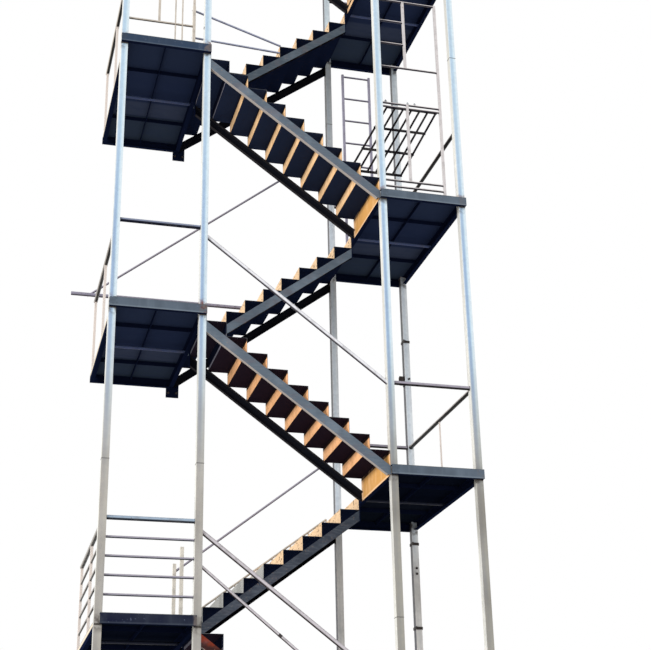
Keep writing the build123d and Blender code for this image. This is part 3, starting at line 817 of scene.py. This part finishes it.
def bevelled(part, width):
    makeActive(part)
    edges = part.modifiers.new("edges", "BEVEL")
    edges.width = width
    edges.segments = 1
    edges.limit_method = "ANGLE"
    bpy.ops.object.modifier_apply(modifier="edges")
    return part


def repeated(name, model, places, kind):
    copies = []
    for place in places:
        copy = model.copy()
        copy.data = model.data.copy()
        copy.data.transform(place)
        scene.collection.objects.link(copy)
        copies.append(copy)
    bpy.data.objects.remove(model)
    piece = joined(copies)
    piece.name = name
    bpy.ops.object.shade_smooth_by_angle(angle=math.radians(40))
    piece.data.materials.clear()
    piece.data.materials.append(bpy.data.materials.get(kind) or fittingMetal(kind))
    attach(piece, "root")
    print(name, len(places), "placed")


def at(x, y, z):
    return Matrix.Translation((x, y, z))


quarter = math.radians(90)
alongX = Matrix.Rotation(quarter, 4, "Y")
alongY = Matrix.Rotation(quarter, 4, "X")

# Fastener: washer, chamfered hexagon nut and a threaded stud end, standing along Z
fastener = {
    "washer": 0.015,
    "washerDepth": 0.003,
    "washerBevel": 0.0006,
    "nut": 0.0139,
    "nutDepth": 0.013,
    "chamfer": 0.0015,
    "crown": 0.0012,
    "stud": 0.008,
    "studFoot": 0.004,
    "proud": 0.009,
    "turns": 4,
    "threadRoot": 0.88,    # shares of the stud's radius
    "tip": 0.8,
}


def modelFastener():
    f = fastener
    washer = newPart("cylinder", vertices=20, radius=f["washer"], depth=f["washerDepth"],
                     location=(0, 0, f["washerDepth"] / 2))
    bevelled(washer, f["washerBevel"])
    nutMiddle = f["washerDepth"] + f["nutDepth"] / 2
    nut = newPart("cylinder", vertices=6, radius=f["nut"], depth=f["nutDepth"], location=(0, 0, nutMiddle))
    pickFaces(nut, lambda face: face.normal.z > 0.9)
    bpy.ops.mesh.inset(thickness=f["chamfer"])
    bpy.ops.transform.translate(value=(0, 0, f["crown"]))
    bpy.ops.object.mode_set(mode="OBJECT")
    nutTop = f["washerDepth"] + f["nutDepth"]
    stud = newPart("cylinder", vertices=12, radius=f["stud"], depth=f["studFoot"], location=(0, 0, nutTop))
    pickFaces(stud, lambda face: face.normal.z > 0.9)
    for turn in range(f["turns"]):
        for size in (f["threadRoot"], 1 / f["threadRoot"]):
            extruded(0, 0, f["proud"] / (2 * f["turns"]))
            bpy.ops.transform.resize(value=(size, size, 1))
    extruded(0, 0, f["crown"])
    bpy.ops.transform.resize(value=(f["tip"], f["tip"], 1))
    bpy.ops.object.mode_set(mode="OBJECT")
    return joined([washer, nut, stud])


feet = [(x, 0.0) for x in stair["postX"]] + [(x, stair["backRow"]) for x in (thirdX, lastX)]
anchorHalf = 0.07
anchorPlaces = [at(x + i * anchorHalf, y + j * anchorHalf, stair["footPlate"])
                for x, y in feet for i in (-1, 1) for j in (-1, 1)]
repeated("anchor_fasteners", modelFastener(), anchorPlaces, "zincFastener")

# Two nuts on the back plate of each bracket
bracket = {"x": 1.03, "halfSpacing": 0.05, "face": 2.37, "below": 0.165}
bracketPlaces = [at(bracket["x"] + i * bracket["halfSpacing"], bracket["face"], level - bracket["below"])
                 @ alongY for level in stair["leftLevels"] for i in (-1, 1)]
repeated("bracket_fasteners", modelFastener(), bracketPlaces, "sootySteel")

# Plugs that close the posts' open tops, just below the rim
plug = {"size": 0.071, "depth": 0.003, "rim": 0.004, "crown": 0.0006, "below": 0.0012}


def modelPlug():
    cap = newPart("plane", size=plug["size"], location=(0, 0, -plug["depth"] - plug["crown"]))
    pickFaces(cap, lambda face: True)
    extruded(0, 0, plug["depth"])
    bpy.ops.mesh.inset(thickness=plug["rim"])
    bpy.ops.transform.translate(value=(0, 0, plug["crown"]))
    closeUp()
    return cap


leftTop, rightTop = stair["postTops"]
plugPlaces = [at(x, y, (leftTop if x < thirdX else rightTop) - plug["below"]) for x, y in feet]
repeated("post_plugs", modelPlug(), plugPlaces, "zincCap")

# Fillet welds under the front channels, across each post's face
bead = {"length": 0.076, "leg": 0.0075, "waves": 9, "swell": 1.18, "lump": 0.0006, "offset": 0.003,
        "merge": 0.00005}


def modelBead():
    weld = newPart("circle", vertices=8, radius=bead["leg"], fill_type="NGON",
                   location=(-bead["length"] / 2, 0, 0), rotation=(0, quarter, 0))
    pickFaces(weld, lambda face: True)
    for wave in range(bead["waves"]):
        for size in (bead["swell"], 1 / bead["swell"]):
            extruded(bead["length"] / (2 * bead["waves"]), 0, 0)
            bpy.ops.transform.resize(value=(1, size, size))
    bpy.ops.mesh.select_all(action="SELECT")
    bpy.ops.mesh.remove_doubles(threshold=bead["merge"])
    bpy.ops.transform.vertex_random(offset=bead["lump"], seed=11)
    closeUp()
    return weld


frontBeams = [(x, level) for x in (firstX, secondX) for level in stair["leftLevels"]]
frontBeams += [(x, level) for x in (thirdX, lastX) for level in stair["rightLevels"]]
beadPlaces = [at(x, -stair["halfPost"] - bead["offset"], level - stair["beamBottom"] - bead["offset"])
              for x, level in frontBeams]
repeated("beam_welds", modelBead(), beadPlaces, "weldBead")

# Weld collars where the level rails meet the posts, with the rails' heights over each landing
collar = {"reach": 0.004, "clear": 0.001, "lump": 0.0012, "thin": 0.0135, "thick": 0.024}
topRail, panelFoot = 0.98, 0.28
allRails = (0.195, 0.39, 0.585, 0.78, topRail)
guardRails = {3.4: allRails, 6.8: (topRail,), 10.2: (panelFoot, topRail), 13.6: allRails}
guardRails.update((level, (topRail,)) for level in stair["rightLevels"])


def modelCollar(radius, seed):
    ring = newPart("torus", major_segments=18, minor_segments=6, major_radius=radius + collar["clear"],
                   minor_radius=collar["reach"])
    pickFaces(ring, lambda face: True)
    bpy.ops.transform.vertex_random(offset=collar["lump"], seed=seed)
    bpy.ops.object.mode_set(mode="OBJECT")
    return ring


def collarPlaces(thick):
    half, back = stair["halfPost"], stair["backRow"]
    places = []
    for level, heights in guardRails.items():
        leftSide = level in stair["leftLevels"]
        ends = (firstX + half, secondX - half) if leftSide else (thirdX + half, lastX - half)
        for height in heights:
            if (height == topRail) != thick:
                continue
            z = level + height
            if level != stair["openLevel"]:
                places += [at(x, 0, z) @ alongX for x in ends]
            if leftSide and height != panelFoot:
                places.append(at(stair["sideRailX"], half, z) @ alongY)
            if not leftSide:
                places += [at(x, back, z) @ alongX for x in ends]
                places += [at(lastX, y, z) @ alongY for y in (half, back - half)]
    return places


repeated("thin_rail_welds", modelCollar(collar["thin"], 5), collarPlaces(False), "sootySteel")
repeated("top_rail_welds", modelCollar(collar["thick"], 8), collarPlaces(True), "paintedWeld")

# Posts come in lengths: a ground-off butt weld shows as a thin ring round the tube
splice = {"reach": 0.0035, "lump": 0.0008, "cuts": 5}
splicePlaces = [at(firstX, 0, 4.992), at(secondX, 0, 4.998), at(lastX, 0, 10.518), at(thirdX, 0, 3.454),
                at(thirdX, stair["backRow"], 10.763)]


def modelSplice():
    ring = newPart("torus", major_segments=4, minor_segments=6, major_radius=stair["halfPost"] * math.sqrt(2),
                   minor_radius=splice["reach"], rotation=(0, 0, quarter / 2))
    pickFaces(ring, lambda face: True)
    bpy.ops.mesh.subdivide(number_cuts=splice["cuts"])
    bpy.ops.transform.vertex_random(offset=splice["lump"], seed=3)
    bpy.ops.object.mode_set(mode="OBJECT")
    return ring


repeated("post_splices", modelSplice(), splicePlaces, "zincSplice")

# Clamp bands round the outer back post, each with a lug and a screw at its front left corner
band = {
    "inner": 0.0404,
    "outer": 0.047,
    "height": 0.034,
    "bevel": 0.0012,
    "lugThick": 0.012,
    "lugLong": 0.03,
    "lugOverlap": 0.0005,
    "lugRim": 0.003,
    "heights": (7.546, 4.815, 3.771),
}


def modelBand():
    b = band
    ring = newPart("cube", size=1, scale=(2 * b["outer"], 2 * b["outer"], b["height"]))
    pickFaces(ring, lambda face: abs(face.normal.z) > 0.9)
    bpy.ops.mesh.inset(thickness=b["outer"] - b["inner"], use_individual=True)
    bpy.ops.mesh.bridge_edge_loops()
    closeUp()
    bevelled(ring, b["bevel"])
    lugMiddle = b["lugLong"] / 2
    lug = newPart("cube", size=1, scale=(b["lugThick"], b["lugLong"], b["height"]),
                  location=(-b["outer"] + b["lugThick"] / 2, -b["outer"] - lugMiddle + b["lugOverlap"], 0))
    pickFaces(lug, lambda face: face.normal.y < -0.9)
    bpy.ops.mesh.inset(thickness=b["lugRim"])
    bpy.ops.transform.translate(value=(0, -b["lugRim"], 0))
    bpy.ops.object.mode_set(mode="OBJECT")
    screw = modelFastener()
    screw.data.transform(at(-b["outer"] + b["lugThick"], -b["outer"] - lugMiddle, 0) @ alongX)
    return joined([ring, lug, screw])


bandPlaces = [at(lastX, stair["backRow"], z) for z in band["heights"]]
repeated("post_clamps", modelBand(), bandPlaces, "sootySteel")

# Bolts through that post, each a little to the right of its axis
boltFace = stair["backRow"] - stair["halfPost"]
boltSpots = ((0.016, 7.02), (0.004, 4.51), (0.004, 4.44))
boltPlaces = [at(lastX + aside, boltFace, z) @ alongY for aside, z in boltSpots]
repeated("post_bolts", modelFastener(), boltPlaces, "sootySteel")

# Small bolts standing on the double rail of the loose frame
frameBolts = {"x": (3.228, 3.512, 3.603), "y": 0.025, "top": 9.785}
frameBoltPlaces = [at(x, frameBolts["y"], frameBolts["top"]) for x in frameBolts["x"]]
repeated("frame_bolts", modelFastener(), frameBoltPlaces, "zincFastener")

# A burnt wrapping round the thin handrail of the lowest flight in front
wrapping = {
    "radius": 0.0185,
    "length": 0.04,
    "lump": 0.0012,
    "cuts": 3,
    "bevel": 0.0008,
    "x": 1.85,
    "railStart": (1.03, 3.91),    # x and z of the rail's ends
    "railEnd": (3.09, 2.21),
}


def modelWrapping():
    sleeve = newPart("cylinder", vertices=16, radius=wrapping["radius"], depth=wrapping["length"])
    pickFaces(sleeve, lambda face: abs(face.normal.z) < 0.5)
    bpy.ops.mesh.subdivide(number_cuts=wrapping["cuts"])
    bpy.ops.transform.vertex_random(offset=wrapping["lump"], seed=6)
    bpy.ops.object.mode_set(mode="OBJECT")
    return bevelled(sleeve, wrapping["bevel"])


(startX, startZ), (endX, endZ) = wrapping["railStart"], wrapping["railEnd"]
fall = (endZ - startZ) / (endX - startX)
downSlope = Matrix.Rotation(math.atan2(endX - startX, endZ - startZ), 4, "Y")
wrappingPlace = at(wrapping["x"], 0, startZ + fall * (wrapping["x"] - startX)) @ downSlope
repeated("rail_wrapping", modelWrapping(), [wrappingPlace], "paintedWeld")

# A cleat left on the outer back post's left side: an angle whose flange lies on the post
# while the other leg stands out to the left
cleat = {
    "width": 0.07,
    "depth": 0.06,
    "height": 0.13,
    "plate": 0.008,
    "rim": 0.004,
    "crown": 0.002,
    "noseLength": 0.01,
    "nose": 0.55,    # share of the arm's height
    "bevel": 0.001,
    "z": 6.99,
}


def modelCleat():
    c = cleat
    leg = newPart("cube", size=1, scale=(c["plate"], c["depth"], c["height"]),
                  location=(-c["plate"] / 2, 0, 0))
    pickFaces(leg, lambda face: face.normal.x < -0.9)
    bpy.ops.mesh.inset(thickness=c["rim"])
    bpy.ops.transform.translate(value=(-c["crown"], 0, 0))
    bpy.ops.object.mode_set(mode="OBJECT")
    arm = newPart("cube", size=1, scale=(c["width"], c["plate"], c["height"]),
                  location=(-c["width"] / 2 - c["crown"], -c["depth"] / 2 + c["plate"] / 2, 0))
    pickFaces(arm, lambda face: face.normal.x < -0.9)
    extruded(-c["noseLength"], 0, 0)
    bpy.ops.transform.resize(value=(1, 1, c["nose"]))
    bpy.ops.object.mode_set(mode="OBJECT")
    bevelled(arm, c["bevel"])
    return joined([leg, arm])


cleatPlace = at(lastX - stair["halfPost"], stair["backRow"], cleat["z"])
repeated("post_cleat", modelCleat(), [cleatPlace], "sootySteel")
print("fittings placed")


# Floor, light and background
studio = {
    "floorSize": 160,
    "floorColour": "#E9E8E4",
    "floorRoughness": 0.9,
    "skyStrength": 0.62,
    "keyStrength": 2.5,
    "keyWay": (0.86, 0.40, -0.24),
    "keySoftness": 18,    # degrees
}


def buildStudio():
    floor = newPart("plane", size=studio["floorSize"])
    floor.name = "studioFloor"
    material, tree, shader = newMaterial("paleStudioFloor")[:3]
    shader.inputs["Base Color"].default_value = linear(studio["floorColour"])
    shader.inputs["Roughness"].default_value = studio["floorRoughness"]
    floor.data.materials.append(material)
    key = bpy.data.lights.new("keyLight", "SUN")
    key.energy = studio["keyStrength"]
    key.angle = math.radians(studio["keySoftness"])
    lamp = bpy.data.objects.new("keyLight", key)
    lamp.rotation_euler = Vector(studio["keyWay"]).to_track_quat("-Z", "Y").to_euler()
    scene.collection.objects.link(lamp)
    world = bpy.data.worlds.new("studioWorld")
    world.use_nodes = True
    scene.world = world
    tree = world.node_tree
    sky = tree.nodes["Background"]
    sky.inputs["Color"].default_value = (1, 1, 1, 1)
    rays = addNode(tree, "LightPath", {}).node.outputs
    seen = rays["Is Camera Ray"]
    for ray in ("Is Glossy Ray", "Is Transmission Ray"):
        seen = addNode(tree, "Math", {0: seen, 1: rays[ray]}, operation="MAXIMUM")
    strength = addNode(tree, "MapRange", {0: seen, 3: studio["skyStrength"], 4: 1.0})
    connect(tree, sky, {"Strength": strength})


buildStudio()
print("studio built")
